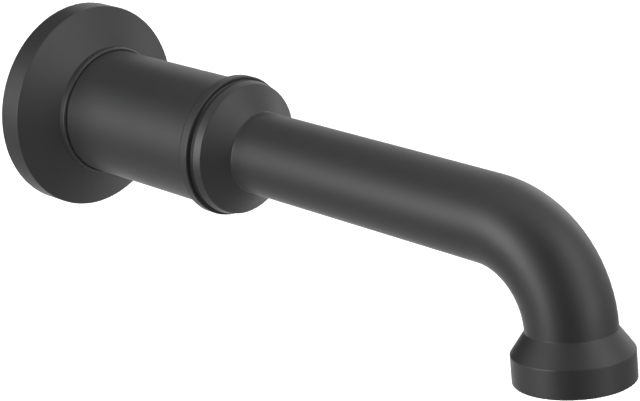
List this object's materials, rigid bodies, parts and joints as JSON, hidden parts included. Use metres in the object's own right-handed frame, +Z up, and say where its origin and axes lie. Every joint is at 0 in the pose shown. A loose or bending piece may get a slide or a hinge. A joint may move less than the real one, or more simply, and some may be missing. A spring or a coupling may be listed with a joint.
{
  "type": "bath spout",
  "caption": "Wall-mounted bath spout with a conical wall flange, a stepped barrel, a slim tube bent down at its end and a flared outlet.",
  "frame": {"origin": "on the spout axis at the wall face, at the centre of the mouth of the inlet socket", "axes": "+Y into the wall, along the supply tube; the spout runs along -Y; +Z up; +X to the right of a person facing the wall"},
  "size_m": [0.07, 0.2293, 0.0778],
  "materials": {
    "black_coating": "matte black coating with a fine satin sheen",
    "bare_brass": "turned, unplated",
    "seal_rubber": "smooth moulded",
    "foam_rubber": "closed-cell foam",
    "screw_steel": "turned stainless",
    "grey_plastic": "moulded"
  },
  "bodies": {
    "root": {"spout_body": "black_coating", "wall_flange": "black_coating", "wall_gasket": "foam_rubber", "flange_o_ring": "seal_rubber", "inlet_adapter": "bare_brass", "adapter_o_ring": "seal_rubber", "tube_o_rings": "seal_rubber", "set_screw": "screw_steel", "straightener_washer": "seal_rubber", "stream_straightener": "grey_plastic", "straightener_ring": "bare_brass"}
  },
  "joints": []
}
